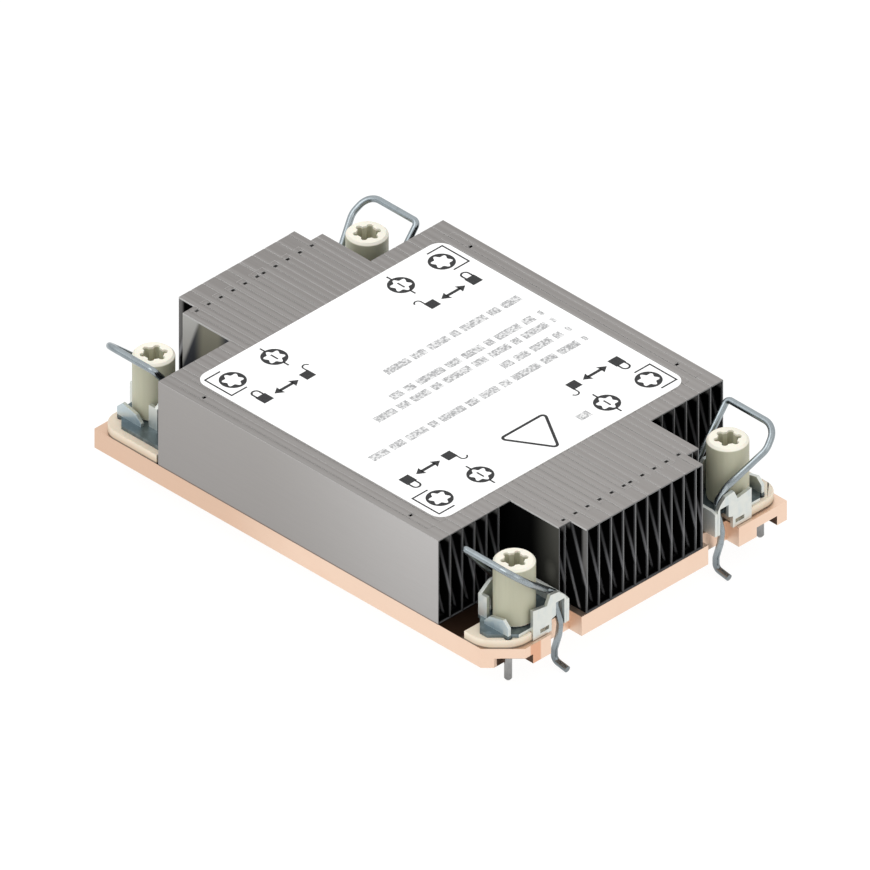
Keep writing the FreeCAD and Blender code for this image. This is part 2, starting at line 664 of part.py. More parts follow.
def main():
    make_base()
    make_fins()
    make_label()
    for corner, (sx, sy) in CORNERS.items():
        make_pad(corner, sx, sy)
        make_bracket(corner, sx, sy)
        make_nut(corner, sx, sy)
        make_clip(corner, sx, sy)
        make_pin(corner, sx, sy)
        make_wire(corner, sx, sy)
    doc.recompute()
    check_document()
    os.makedirs("parts", exist_ok=True)
    for item in sub_parts:
        item.Shape.exportStep("parts/%s.step" % item.Label)
        print("%-28s solids %2d  volume %10.3f" % (item.Label, len(item.Shape.Solids), item.Shape.Volume))


main()
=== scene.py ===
"""Finishes a passive server processor heatsink: its surfaces, the label's print and the stage."""

import json
import math

import bmesh
import bpy
import numpy as np
from bpy.props import FloatProperty, FloatVectorProperty, IntProperty, PointerProperty
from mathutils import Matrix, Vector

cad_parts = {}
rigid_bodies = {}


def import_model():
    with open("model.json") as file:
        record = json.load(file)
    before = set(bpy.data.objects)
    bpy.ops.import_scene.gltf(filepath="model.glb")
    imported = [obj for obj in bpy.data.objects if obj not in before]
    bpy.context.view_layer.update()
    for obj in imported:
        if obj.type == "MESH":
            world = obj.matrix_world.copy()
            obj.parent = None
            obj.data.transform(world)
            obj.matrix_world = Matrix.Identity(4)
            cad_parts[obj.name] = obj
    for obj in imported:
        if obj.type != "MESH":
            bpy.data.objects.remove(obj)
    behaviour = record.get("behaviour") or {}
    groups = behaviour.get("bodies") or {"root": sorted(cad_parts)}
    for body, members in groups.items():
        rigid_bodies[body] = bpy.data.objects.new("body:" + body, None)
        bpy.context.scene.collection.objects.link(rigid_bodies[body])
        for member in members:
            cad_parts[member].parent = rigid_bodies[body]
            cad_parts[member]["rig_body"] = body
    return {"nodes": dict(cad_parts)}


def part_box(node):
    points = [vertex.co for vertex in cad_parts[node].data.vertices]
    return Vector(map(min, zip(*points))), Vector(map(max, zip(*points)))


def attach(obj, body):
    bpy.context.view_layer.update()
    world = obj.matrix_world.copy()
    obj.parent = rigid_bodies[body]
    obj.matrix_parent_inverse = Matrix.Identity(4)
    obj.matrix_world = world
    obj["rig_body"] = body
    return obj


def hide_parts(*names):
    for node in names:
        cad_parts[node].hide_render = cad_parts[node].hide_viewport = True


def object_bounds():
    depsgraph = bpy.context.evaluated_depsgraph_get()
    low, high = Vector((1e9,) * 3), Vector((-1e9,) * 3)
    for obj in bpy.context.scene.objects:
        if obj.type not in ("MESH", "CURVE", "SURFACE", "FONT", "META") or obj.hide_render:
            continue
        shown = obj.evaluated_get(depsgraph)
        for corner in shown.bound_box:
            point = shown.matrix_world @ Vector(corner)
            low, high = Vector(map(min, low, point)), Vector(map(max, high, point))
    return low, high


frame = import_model()
cad_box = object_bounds()

bl_info = {
    "name": "Server Heatsink Finishes",
    "version": (1, 0, 0),
    "blender": (4, 5, 0),
    "location": "View3D > Sidebar > Heatsink",
    "description": "Finishes, prints and lights a passive server processor heatsink",
    "category": "Object",
}

MM = 0.001
CORNERS = {"front_left": (1, 1), "front_right": (1, -1), "rear_left": (-1, 1), "rear_right": (-1, -1)}

# Corners of the pieces that a finish or a piece is placed by
BASE_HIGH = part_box("base_plate")[1]
LABEL_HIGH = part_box("label_sheet")[1]
WING_LOW, WING_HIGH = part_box("middle_fin")
BLOCK_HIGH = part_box("side_fin_left")[1]
STEP_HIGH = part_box("step_fins_left")[1]
TIP_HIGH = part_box("tip_fin_left")[1]
NUT_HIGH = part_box("nut_front_left")[1]
PAD_LOW, PAD_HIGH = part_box("ear_pad_front_left")
BRACKET_LOW, BRACKET_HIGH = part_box("wire_bracket_front_left")

SHEET_GAUGE = 0.8 * MM
TAB_SET_BACK = 3.8 * MM
FLANGE_TOP = PAD_HIGH.z + SHEET_GAUGE
WALL_FACE = BRACKET_HIGH.x - SHEET_GAUGE
TAB_SIDE = BASE_HIGH.y - TAB_SET_BACK + SHEET_GAUGE

# How near to a top or a side a point counts as on it, and how near to a rim or a wall
TOUCH = 0.02 * MM
CLOSE = 0.03 * MM

# What counts as one point, as flat and as a fold where a mesh is rounded
MERGE_DISTANCE = 0.002 * MM
FLAT_ANGLE = math.radians(0.5)
FOLD_ANGLE = math.radians(30)
CORNER_ANGLE = math.radians(70)
CORNER_SEGMENTS = 5

WHITE = (1.0, 1.0, 1.0)


def colour_property(name, description, default):
    """A colour, in linear parts from 0 to 1."""
    return FloatVectorProperty(name=name, description=description, default=default, subtype="COLOR",
                               size=3, min=0, max=1)


def share_property(name, description, default):
    """A number from 0 to 1."""
    return FloatProperty(name=name, description=description, default=default, subtype="FACTOR",
                         min=0, max=1)


def strength_property(name, description, default):
    """How strong a light is."""
    return FloatProperty(name=name, description=description, default=default, min=0)


def length_property(name, description, default):
    """A length in metres."""
    return FloatProperty(name=name, description=description, default=default, subtype="DISTANCE",
                         unit="LENGTH")


def angle_property(name, description, degrees):
    """An angle, given in degrees and kept in radians."""
    return FloatProperty(name=name, description=description, default=math.radians(degrees),
                         subtype="ANGLE", unit="ROTATION")


class CopperSettings(bpy.types.PropertyGroup):
    plate: colour_property("Plate", "Colour of the clean copper", (0.87, 0.66, 0.52))
    # painted shade: the copper's colour at the -X end
    dim: colour_property("Dim", "Colour at the end that faces away from the light", (0.73, 0.52, 0.39))
    tarnish: colour_property("Tarnish", "Colour in the faint darker patches", (0.76, 0.42, 0.27))
    shade: colour_property("Shade", "Colour in the grooves and beside the fins", (0.10, 0.055, 0.035))
    roughness: share_property("Roughness", "How matt the milled copper is", 0.48)
    edge: length_property("Edge", "Width of the broken edges", 0.12 * MM)


class FinSettings(bpy.types.PropertyGroup):
    # painted light and shade: caps and sides are brighter towards +X and darker towards -X
    cap: colour_property("Caps", "Colour of the closed top at the bright end", (0.305, 0.288, 0.276))
    shaded_cap: colour_property("Dull caps", "Colour of the top at the other end", (0.262, 0.247, 0.237))
    seam: colour_property("Seams", "Colour of the caps' cut edges", (0.50, 0.49, 0.48))
    side: colour_property("Side", "Colour of the flat sides at the bright end", (0.50, 0.485, 0.475))
    shaded_side: colour_property("Dull side", "Colour of the sides at the other end", (0.365, 0.348, 0.336))
    # painted contact shadow and copper reflection at the foot of the sides
    seat: colour_property("Seat", "Colour of the sides where they meet the copper", (0.14, 0.09, 0.065))
    rim: colour_property("Rims", "Colour of the sheared ends", (0.225, 0.225, 0.225))
    # painted shade: near black for the shade deep between the fins
    gap: colour_property("Gaps", "Colour deep between the fins", (0.002, 0.002, 0.002))
    # painted highlight on the fins' inner faces
    gleam: colour_property("Gleam", "Colour of the light on the fins' inner faces", (0.25, 0.25, 0.26))
    # painted light inside the slots in the caps
    slot: colour_property("Slots", "Colour inside the slots in the caps", (0.2, 0.196, 0.19))
    # painted light on the wing's outermost inner face
    tip: colour_property("Tip", "Colour of the wing's outermost inner face", (0.19, 0.185, 0.18))
    roughness: share_property("Roughness", "How matt the rolled sheet is", 0.42)
    fold: length_property("Fold", "Outer radius of the folds", 0.08 * MM)


# painted light and shade on the wings' outer walls: front and rear are painted shade, the nut's and the
# copper's reflections are painted, lit is painted light
class WingSettings(bpy.types.PropertyGroup):
    front: colour_property("Front", "Colour of the front wing's outer walls", (0.003, 0.003, 0.003))
    nut: colour_property("Nut", "Colour of the nut's reflection in them", (0.15, 0.148, 0.13))
    rear: colour_property("Rear", "Colour of the rear wing's walls by the block", (0.05, 0.052, 0.06))
    bronze_reflection: colour_property("Bronze", "Colour of the copper's reflection there", (0.22, 0.21, 0.165))
    lit: colour_property("Lit", "Colour of the rear walls' outer part", (0.44, 0.43, 0.41))


class LabelSettings(bpy.types.PropertyGroup):
    film: colour_property("Film", "Colour of the label's film", (0.96, 0.96, 0.955))
    ink: colour_property("Ink", "Colour of the printed signs", (0.022, 0.022, 0.023))
    rows: colour_property("Rows", "Colour of the grey rows", (0.34, 0.34, 0.345))
    lift: length_property("Lift", "Height of the ink above the film", 0.02 * MM)
    drive_steps: IntProperty(name="Drive steps", description="Steps round each six-lobed drive",
                             default=144)


class NutSettings(bpy.types.PropertyGroup):
    resin: colour_property("Resin", "Colour of the moulded nuts", (0.455, 0.445, 0.33))
    rim: colour_property("Rim", "Colour of the polished rim", (0.82, 0.79, 0.685))
    roughness: share_property("Roughness", "How matt the resin is", 0.42)
    edge: length_property("Edge", "Radius of the nuts' edges", 0.12 * MM)


class PadSettings(bpy.types.PropertyGroup):
    resin: colour_property("Resin", "Colour of the moulded pads", (0.80, 0.70, 0.565))
    wall: colour_property("Walls", "Colour low on the pads' walls", (0.52, 0.385, 0.265))
    edge: length_property("Edge", "Radius of the pads' edges", 0.3 * MM)
    corner: length_property("Corner", "Radius of the pads' upright corners", 2.2 * MM)


class SteelSettings(bpy.types.PropertyGroup):
    zinc: colour_property("Zinc", "Colour of the plated walls", (0.70, 0.715, 0.67))
    # painted reflection on the tabs, and the cloudy blue tint of the plating
    tab_reflection_and_tint: colour_property("Tabs", "Colour of the plating on the tabs", (0.47, 0.56, 0.60))
    # painted shade: the dark slate on the flanges between the nut and the walls
    flange: colour_property("Flange", "Colour of the plating on the flanges", (0.135, 0.17, 0.185))
    # painted shadow of the fin block on the brackets beside it
    shadow: colour_property("Shadow", "Colour of the plating beside the fins", (0.01, 0.01, 0.012))
    wire: colour_property("Wire", "Colour of the drawn wire", (0.33, 0.37, 0.39))
    spring: colour_property("Spring", "Colour of the clips", (0.2, 0.2, 0.21))
    pin: colour_property("Pin", "Colour of the ground pins", (0.34, 0.335, 0.33))
    bend: length_property("Bend", "Radius of the pressed sheet's edges", 0.16 * MM)


class StageSettings(bpy.types.PropertyGroup):
    floor: colour_property("Floor", "Colour of the floor", (0.12, 0.12, 0.12))
    glow: share_property("Glow", "Even light from the floor, which keeps shadows pale", 0.92)
    even: colour_property("Even", "Colour of the light from the sides", (0.97, 0.985, 1.0))
    warm: colour_property("Warm", "Colour of the light from +X", (1.0, 0.98, 0.94))
    cool: colour_property("Cool", "Colour of the light from -Y", (0.90, 0.96, 1.0))
    zenith: strength_property("Zenith", "Strength of the light from above", 1.12)
    horizon: strength_property("Horizon", "Strength of the light from the sides", 0.80)
    ground: strength_property("Ground", "Strength of the white below the horizon", 1.03)
    azimuth: angle_property("Azimuth", "Turn of the camera round the heatsink", 45.1)
    elevation: angle_property("Elevation", "Height of the camera above the horizon", 34.65)
    distance: length_property("Distance", "How far back the camera stands", 0.6)
    view_width: length_property("View width", "Width of the parallel view", 169.26 * MM)
    aim_height: length_property("Aim height", "Height of the point that the camera looks at", 12 * MM)
    aim_right: length_property("Aim right", "How far right of it the view's centre lies", -1.109 * MM)
    aim_up: length_property("Aim up", "How far above it the view's centre lies", -0.409 * MM)


class HeatsinkSettings(bpy.types.PropertyGroup):
    copper: PointerProperty(type=CopperSettings)
    fins: PointerProperty(type=FinSettings)
    wings: PointerProperty(type=WingSettings)
    label: PointerProperty(type=LabelSettings)
    nuts: PointerProperty(type=NutSettings)
    pads: PointerProperty(type=PadSettings)
    steel: PointerProperty(type=SteelSettings)
    stage: PointerProperty(type=StageSettings)


# Shader maths

SOCKETS = {"specular": "Specular IOR Level", "subsurface": "Subsurface Weight",
           "subsurface_scale": "Subsurface Scale", "glow": "Emission Color",
           "glow_strength": "Emission Strength"}


class Shade:
    """One output of a shader tree. Python's operators on it add the Math nodes that work them out."""

    def __init__(self, tree, socket):
        self.tree = tree
        self.socket = socket

    def math(self, operation, first, second=0.0):
        return self.tree.node("ShaderNodeMath", {"operation": operation}, {0: first, 1: second})

    def __add__(self, other):
        return self.math("ADD", self, other)

    def __sub__(self, other):
        return self.math("SUBTRACT", self, other)

    def __rsub__(self, other):
        return self.math("SUBTRACT", other, self)

    def __mul__(self, other):
        return self.math("MULTIPLY", self, other)

    def __abs__(self):
        return self.math("ABSOLUTE", self)

    def __or__(self, other):
        return self.math("MAXIMUM", self, other)

    def __gt__(self, other):
        return self.math("GREATER_THAN", self, other)

    def __lt__(self, other):
        return self.math("LESS_THAN", self, other)

    __radd__ = __add__
    __rmul__ = __mul__
    __ror__ = __or__

    def sine(self):
        return self.math("SINE", self)

    def between(self, low, high):
        """1 from low to high and 0 elsewhere."""
        return (self > low) * (self < high)


class Tree:
    """A tree of shader nodes, for a material or the sky."""

    def __init__(self, tree):
        self.tree = tree
        self.tree.nodes.clear()

    def node(self, kind, settings=None, inputs=None, output=0):
        """Adds a node: its settings first, then its sockets' values or links. Gives one of its outputs."""
        made = self.tree.nodes.new(kind)
        for name, value in (settings or {}).items():
            setattr(made, name, value)
        for key, value in (inputs or {}).items():
            if isinstance(value, Shade):
                self.tree.links.new(value.socket, made.inputs[key])
            else:
                made.inputs[key].default_value = value
        return None if output is None else Shade(self, made.outputs[output])

    def axes(self, place):
        """The three numbers of a place or direction."""
        split = self.node("ShaderNodeSeparateXYZ", inputs={0: place}).socket.node
        return [Shade(self, socket) for socket in split.outputs]

    def ramp(self, value, low, high):
        """0 below low, 1 above high and a smooth rise between."""
        return self.node("ShaderNodeMapRange", {"interpolation_type": "SMOOTHSTEP"},
                         {0: value, 1: low, 2: high, 3: 0.0, 4: 1.0})

    def fall(self, value, low, high):
        """1 below low, 0 above high and a smooth fall between."""
        return 1 - self.ramp(value, low, high)

    def near(self, value, place, inner, outer):
        """1 where the value is within inner of a place, 0 beyond outer and a smooth fall between."""
        return self.fall(abs(value - place), inner, outer)

    def mix(self, share, first, second):
        """The first colour where the share is 0 and the second where it is 1."""
        colours = [value if isinstance(value, Shade) else (*value, 1.0) for value in (first, second)]
        return self.node("ShaderNodeMix", {"data_type": "RGBA"}, {0: share, 6: colours[0], 7: colours[1]}, 2)


class Finish(Tree):
    """A material built of nodes, with the object's own coordinates in metres."""

    def __init__(self, name):
        self.material = bpy.data.materials.new(name)
        self.material.use_nodes = True
        super().__init__(self.material.node_tree)
        self.place = self.node("ShaderNodeTexCoord", output="Object")
        self.x, self.y, self.z = self.axes(self.place)

    def noise(self, grain, stretch=(1, 1, 1), detail=3.0):
        """Cloudy numbers about 0.5, with grains of that size in metres, drawn out by the stretch."""
        scale = tuple(1 / (grain * part) for part in stretch)
        spot = self.node("ShaderNodeMapping", {"vector_type": "POINT"},
                         {"Vector": self.place, "Scale": scale})
        return self.node("ShaderNodeTexNoise", inputs={"Vector": spot, "Scale": 1.0, "Detail": detail})

    def bump(self, height, distance):
        """The normal of a surface that a height from 0 to 1 raises by up to a distance."""
        return self.node("ShaderNodeBump", inputs={"Height": height, "Distance": distance})

    def surface(self, colour, roughness, metallic=0.0, normal=None, **constants):
        """A surface. The constants are sockets that are the same all over it, by their names in SOCKETS."""
        inputs = {"Base Color": colour if isinstance(colour, Shade) else (*colour, 1.0),
                  "Roughness": roughness, "Metallic": metallic}
        inputs.update({SOCKETS[name]: value for name, value in constants.items()})
        if normal is not None:
            inputs["Normal"] = normal
        return self.node("ShaderNodeBsdfPrincipled", inputs=inputs)

    def close(self, surface):
        """Joins the surface to the output and gives the finished material."""
        self.node("ShaderNodeOutputMaterial", inputs={"Surface": surface}, output=None)
        return self.material


# Surfaces


def place_piece(name, mesh, material, body, smooth=True):
    """An object of a mesh, with one material, that rides on a body."""
    mesh.materials.clear()
    mesh.materials.append(material)
    mesh.polygons.foreach_set("use_smooth", np.full(len(mesh.polygons), smooth))
    piece = bpy.data.objects.new(name, mesh)
    bpy.context.scene.collection.objects.link(piece)
    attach(piece, body)
    return piece


def make_piece(name, points, faces, material, body, smooth=True):
    """A piece made of points in metres and the faces between them."""
    mesh = bpy.data.meshes.new(name)
    mesh.from_pydata(points.tolist(), [], faces)
    mesh.update()
    return place_piece(name, mesh, material, body, smooth)


def grid_faces(rows, columns, closed=False):
    """The four-sided faces between neighbours on a grid of points, told off row by row. A closed grid joins
    its last row to its first."""
    index = np.arange(rows * columns).reshape(rows, columns)
    if closed:
        index = np.vstack([index, index[:1]])
    quads = [index[:-1, :-1], index[1:, :-1], index[1:, 1:], index[:-1, 1:]]
    return np.stack([corner.ravel() for corner in quads], axis=1)


def join_grids(grids):
    """Points and faces of several grids as one. Each grid is its points and its faces."""
    starts = np.cumsum([0] + [len(points) for points, _ in grids[:-1]])
    points = np.vstack([points for points, _ in grids])
    faces = np.vstack([faces + start for (_, faces), start in zip(grids, starts)])
    return points, faces


def band(path, width, closed=False):
    """A flat band of one width along a line of points in the plane. Each edge is the line moved half the
    width along the sum of its two neighbours' side directions, lengthened by 1 / cos of half the turn so
    that the width stays."""
    least_cosine = 0.3
    line = np.asarray(path, float)
    ahead = np.roll(line, -1, axis=0) - line
    behind = line - np.roll(line, 1, axis=0)
    if not closed:
        ahead[-1] = behind[-1]
        behind[0] = ahead[0]
    ahead /= np.linalg.norm(ahead, axis=1, keepdims=True)
    behind /= np.linalg.norm(behind, axis=1, keepdims=True)
    side = np.stack([-(ahead + behind)[:, 1], (ahead + behind)[:, 0]], axis=1)
    side /= np.linalg.norm(side, axis=1, keepdims=True)
    straight = np.stack([-ahead[:, 1], ahead[:, 0]], axis=1)
    reach = width / 2 / np.clip((side * straight).sum(1, keepdims=True), least_cosine, 1)
    points = np.stack([line + side * reach, line - side * reach], axis=1).reshape(-1, 2)
    return points, grid_faces(len(line), 2, closed)


def arc(centre, radius, start, end, steps=24):
    """Points round part of a circle, from one angle in degrees to another."""
    angle = np.radians(np.linspace(start, end, steps))
    return np.stack([centre[0] + radius * np.cos(angle), centre[1] + radius * np.sin(angle)], axis=1)


def star(angle, core, reach):
    """Radius of a six-pointed star at each angle: core + (reach - core) times a wave of six crests, which a
    power just over 1 makes a little narrower."""
    crests = 6
    narrowing = 1.2
    wave = (1 + np.cos(crests * angle)) / 2
    return core + (reach - core) * wave ** narrowing


def face_upwards(points, faces):
    """Turns each flat face over whose corners run clockwise as seen from above."""
    corners = points[faces]
    following = np.roll(corners, -1, axis=1)
    area = (corners[..., 0] * following[..., 1] - following[..., 0] * corners[..., 1]).sum(axis=1)
    faces[area < 0] = faces[area < 0][:, ::-1]
    return faces


def is_sharp_upright(edge):
    """Whether an edge stands upright where two walls meet in an outside corner of 30 to 70 degrees."""
    run = edge.verts[1].co - edge.verts[0].co
    turn = edge.calc_face_angle_signed(0.0)
    return run.xy.length < 0.01 * MM and FOLD_ANGLE < turn < CORNER_ANGLE


def round_edges(piece, width, segments=2):
    """A Bevel on every edge of a piece that is sharper than a fold."""
    rounding = piece.modifiers.new("Edges", "BEVEL")
    rounding.width = width
    rounding.segments = segments
    rounding.limit_method = "ANGLE"
    rounding.angle_limit = FOLD_ANGLE
    rounding.harden_normals = True


def soften(node, width, material, segments=2, corner=0.0):
    """A copy of a node's mesh with its edges rounded: doubles merged, flat faces joined, then a Bevel. A
    corner width rounds the sharp upright edges first."""
    source = frame["nodes"][node]
    mesh = source.data.copy()
    shape = bmesh.new()
    shape.from_mesh(mesh)
    bmesh.ops.remove_doubles(shape, verts=shape.verts, dist=MERGE_DISTANCE)
    bmesh.ops.dissolve_limit(shape, angle_limit=FLAT_ANGLE, verts=shape.verts, edges=shape.edges)
    if corner:
        upright = [edge for edge in shape.edges if is_sharp_upright(edge)]
        bmesh.ops.bevel(shape, geom=upright, offset=corner, offset_type="OFFSET", segments=CORNER_SEGMENTS,
                        profile=0.5, affect="EDGES")
    shape.to_mesh(mesh)
    shape.free()
    if "custom_normal" in mesh.attributes:
        mesh.attributes.remove(mesh.attributes["custom_normal"])
    piece = place_piece("finished_" + node, mesh, material, source["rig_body"])
    round_edges(piece, width, segments)
    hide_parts(node)


def side_wall(corner, material, bend):
    """The bracket's wall along the wire's axle: an outline in X and Z, carried one gauge of sheet along Y
    from the flange's edge towards the wing."""
    lift = 0.1 * MM
    tall = 5.7 * MM
    slope = 1.2 * MM
    start, end = BRACKET_LOW.x, BRACKET_HIGH.x
    low = BASE_HIGH.z + lift
    top = low + tall
    outline = np.array([(start, low), (end, low), (end, top - slope / 3), (end - slope, top), (start, top)])
    count = len(outline)
    sides = np.repeat([BRACKET_LOW.y - SHEET_GAUGE, BRACKET_LOW.y], count)
    points = np.column_stack([np.tile(outline[:, 0], 2), sides, np.tile(outline[:, 1], 2)])
    step = np.arange(count)
    ahead = np.roll(step, -1)
    faces = [step.tolist(), (step[::-1] + count).tolist()]
    faces += np.column_stack([ahead, step, step + count, ahead + count]).tolist()
    sx, sy = CORNERS[corner]
    faces = [face[::sx * sy] for face in faces]
    name = "bracket_wall_" + corner
    wall = make_piece(name, points * (sx, sy, 1), faces, material, "root")
    round_edges(wall, bend)


def refinish(node, material):
    """Gives a node its finish and keeps its shape."""
    mesh = frame["nodes"][node].data
    mesh.materials.clear()
    mesh.materials.append(material)


# Finishes


def darker(colour, share):
    """A colour with each of its parts cut to a share."""
    return tuple(share * part for part in colour)


def copper_finish(look):
    """Milled copper: fine lines along the plate, cloudy warm patches and turned rings underneath.
    Painted shade darkens the grooves and the top beside the fins, and makes the plate darker towards -X."""
    finish = Finish("milled_copper")
    clouds = finish.ramp(finish.noise(9 * MM, detail=4.0), 0.45, 0.8)
    lines = finish.noise(0.16 * MM, stretch=(60, 1, 1), detail=2.0)
    # painted shade: the plate darkens towards -X
    bright = finish.ramp(finish.x, -24 * MM, 4 * MM)
    colour = finish.mix(bright, look.dim, look.plate)
    colour = finish.mix(clouds * 0.15, colour, look.tarnish)
    # a warmer, darker strip across the end face on the side of -Y
    colour = finish.mix(warm_strip(finish) * 0.95, colour, look.tarnish)
    # painted shade in the grooves under the ears and on the top beside the fins
    colour = finish.mix(hollows(finish), colour, look.shade)
    turned = 0.9 * MM
    radius = finish.node("ShaderNodeVectorMath", {"operation": "LENGTH"}, {0: finish.place}, "Value")
    rings = (radius * (2 * math.pi / turned)).sine()
    under = finish.fall(finish.z, 0.01 * MM, 0.03 * MM)
    normal = finish.bump(lines * 0.5 + rings * under * 0.25, 0.006 * MM)
    return finish.close(finish.surface(colour, lines * 0.16 + look.roughness - 0.08, 1.0, normal))


def warm_strip(finish):
    """A warmer strip across the base's end face, on the side of -Y."""
    place = -30.0 * MM
    end_face = finish.x > BASE_HIGH.x - TOUCH
    return end_face * finish.near(finish.y, place, 1.2 * MM, 1.6 * MM)


def hollows(finish):
    """Where little light comes to the copper: in the grooves under the ears, and on top of the plate from
    the fins out to the pads."""
    along = abs(finish.x)
    across = abs(finish.y)
    groove = finish.z.between(CLOSE, 2.25 * MM)
    groove = groove * along.between(BASE_HIGH.x - 4.4 * MM, BASE_HIGH.x - CLOSE)
    groove = groove * across.between(BASE_HIGH.y - 8.4 * MM, BASE_HIGH.y - 2.6 * MM)
    beside = finish.fall(along, PAD_LOW.x - 1.5 * MM, PAD_LOW.x + 0.5 * MM)
    return groove | beside * (finish.z > BASE_HIGH.z - TOUCH)


def fin_finish(name, look, wing, end):
    """Rolled aluminium. Caps and flat sides are grey, brighter towards +X by painted light. Every other face
    is painted near black as shade, with painted gleams behind each rim and slanted across it."""
    finish = Finish(name)
    depth = end - abs(finish.x)
    height = (finish.z - WING_LOW.z) * (1 / (WING_HIGH.z - WING_LOW.z))
    cap = finish.z > WING_HIGH.z - TOUCH
    side = abs(finish.y) > BLOCK_HIGH.y - TOUCH
    rim = depth < CLOSE
    lines = finish.noise(0.1 * MM, stretch=(90, 1, 1), detail=2.0)
    # painted shade: the rims fade into the painted black of the gaps towards the foot
    edge = finish.mix(finish.ramp(height, 0.02, 0.25) * 0.8 + 0.2, look.gap, look.rim)
    metal = finish.mix(side, edge, side_colour(finish, look, height, lines))
    metal = finish.mix(cap, metal, cap_colour(finish, look, lines))
    gap = gap_colour(finish, look, wing, end, height)
    sheet = finish.surface(metal, lines * 0.1 + look.roughness, 0.9, finish.bump(lines, 0.003 * MM))
    inside = finish.surface(gap, 0.9, specular=0.0)
    share = cap | side | rim
    return finish.close(finish.node("ShaderNodeMixShader", inputs={0: share, 1: inside, 2: sheet}))


def side_colour(finish, look, height, lines):
    """The block's flat sides, darker towards -X and the foot as painted shade, with a painted brown contact
    shadow and copper reflection where they meet the copper.
    """
    bright = finish.ramp(finish.x, -14 * MM, 38 * MM)
    colour = finish.mix(bright, look.shaded_side, look.side)
    # painted shade: darker towards the foot
    colour = finish.mix(lines * 0.1 + (1 - height) * 0.3, colour, look.shaded_cap)
    return finish.mix(finish.fall(height, 0.01, 0.025) * 0.8, colour, look.seat)


def cap_colour(finish, look, lines):
    """The closed top, with a pale stripe along each fin, soft bands across the fins and rolling lines."""
    half_length = 50 * MM
    bands = finish.ramp(finish.noise(0.5 * MM, stretch=(200, 1, 200), detail=1.0), 0.35, 0.65)
    # painted light: the caps brighten towards +X
    colour = finish.mix(finish.ramp(finish.x, -half_length, half_length), look.shaded_cap, look.cap)
    return finish.mix(stripes(finish) * 0.16 + bands * 0.06 + lines * 0.06, colour, look.side)


def stripes(finish):
    """A soft pale stripe along each fin's cap, and along every other one on the wings' wide tips: the
    raised half of a cosine across the fins."""
    first = 5.45 * MM
    pitch = (STEP_HIGH.y - TIP_HIGH.y) / 2
    turn = (finish.y + first) * (2 * math.pi / pitch)
    each = (turn + math.pi / 2).sine() * 0.5 + 0.5
    other = (turn * 0.5 + math.pi / 2).sine() | 0.0
    wide = abs(finish.x) > STEP_HIGH.x - 0.5 * MM
    return each * (1 - wide) + other * other * other * wide


def gap_colour(finish, look, wing, end, height):
    """Every face between the fins, painted near black as shade: its painted gleams, painted light in the
    slots in the caps and on the wing's outermost inner face, the wings' outer walls and the caps' cut
    edges."""
    depth = end - abs(finish.x)
    slot_place = min(end, STEP_HIGH.x) - 2.2 * MM
    # painted light: the inner faces under the slots in the caps are paler
    slot = finish.near(abs(finish.x), slot_place, 1.6 * MM, 2.2 * MM) * finish.ramp(height, 0.88, 0.95)
    colour = finish.mix(gleams(finish, depth, height), look.gap, look.gleam)
    colour = finish.mix(slot, colour, look.slot)
    colour = outer_walls(finish, colour, wing, height)
    # painted light: a lit patch near the rim of the wing's outermost inner face
    tip = abs(finish.y + TIP_HIGH.y) < CLOSE
    tip = tip * finish.fall(depth, 0.7 * MM, 1.7 * MM) * finish.ramp(height, 0.3, 0.6)
    colour = finish.mix(tip * 0.8, colour, look.tip)
    seam = (finish.z > WING_HIGH.z - 0.36 * MM) * (depth > 0.1 * MM)
    return finish.mix(seam, colour, look.seam)


def gleams(finish, depth, height):
    """Painted light on a fin's inner face: a thin highlight behind its rim, a long streak that leaves the
    rim a third of the way up and falls back as it rises, and the foot of another."""
    slant = 6.35 * MM
    upper_start = 0.31
    lower_start = -0.30
    # uneven strength of the painted gleams
    gleam_variation = finish.ramp(finish.noise(2.4 * MM, stretch=(1, 0.7, 2.5), detail=2.0), 0.3, 0.62)
    behind = finish.fall(depth, 0.1 * MM, 0.6 * MM)
    upper = finish.near(depth, (height - upper_start) * slant, 0.05 * MM, 0.7 * MM)
    upper = upper * (1.15 - finish.ramp(height, 0.2, 1.15)) * (gleam_variation * 0.35 + 0.75)
    lower = finish.near(depth, (height - lower_start) * slant, 0.05 * MM, 0.6 * MM)
    lower = lower * finish.ramp(height, 0.01, 0.05) * (gleam_variation * 0.5 + 0.45)
    return (behind * 0.5 | upper) | lower


def outer_walls(finish, colour, wing, height):
    """The wings' outer walls, painted with light and shade. The front one is painted near black as shade,
    darkest towards the block, with a painted pale reflection of the nut near its end. The rear one is
    painted grey as light beyond a slanted line, and dark behind it with painted shade and a painted
    brownish reflection of the copper."""
    slant = 7.3 * MM
    slant_start = 0.38
    wall = abs(abs(finish.y) - STEP_HIGH.y) < CLOSE
    front = finish.x > 0
    reach = STEP_HIGH.x - abs(finish.x)
    fade = finish.fall(reach, 0, 8 * MM)
    nut = finish.near(reach, 2.0 * MM, 0, 3.4 * MM) * finish.near(height, 0.42, 0, 0.3)
    dark = finish.mix(fade * 0.45 | nut * 0.75, wing.front, wing.nut)
    # painted reflection of the copper on the rear walls
    bronze_reflection = finish.ramp(reach, 3 * MM, 6 * MM) * finish.fall(reach, 9.5 * MM, 12.5 * MM)
    lit = finish.ramp((height - slant_start) * slant - reach, -0.6 * MM, 0.5 * MM)
    grey = finish.mix(lit, finish.mix(bronze_reflection, wing.rear, wing.bronze_reflection), wing.lit)
    colour = finish.mix(wall * front, colour, dark)
    return finish.mix(wall * (1 - front), colour, grey)


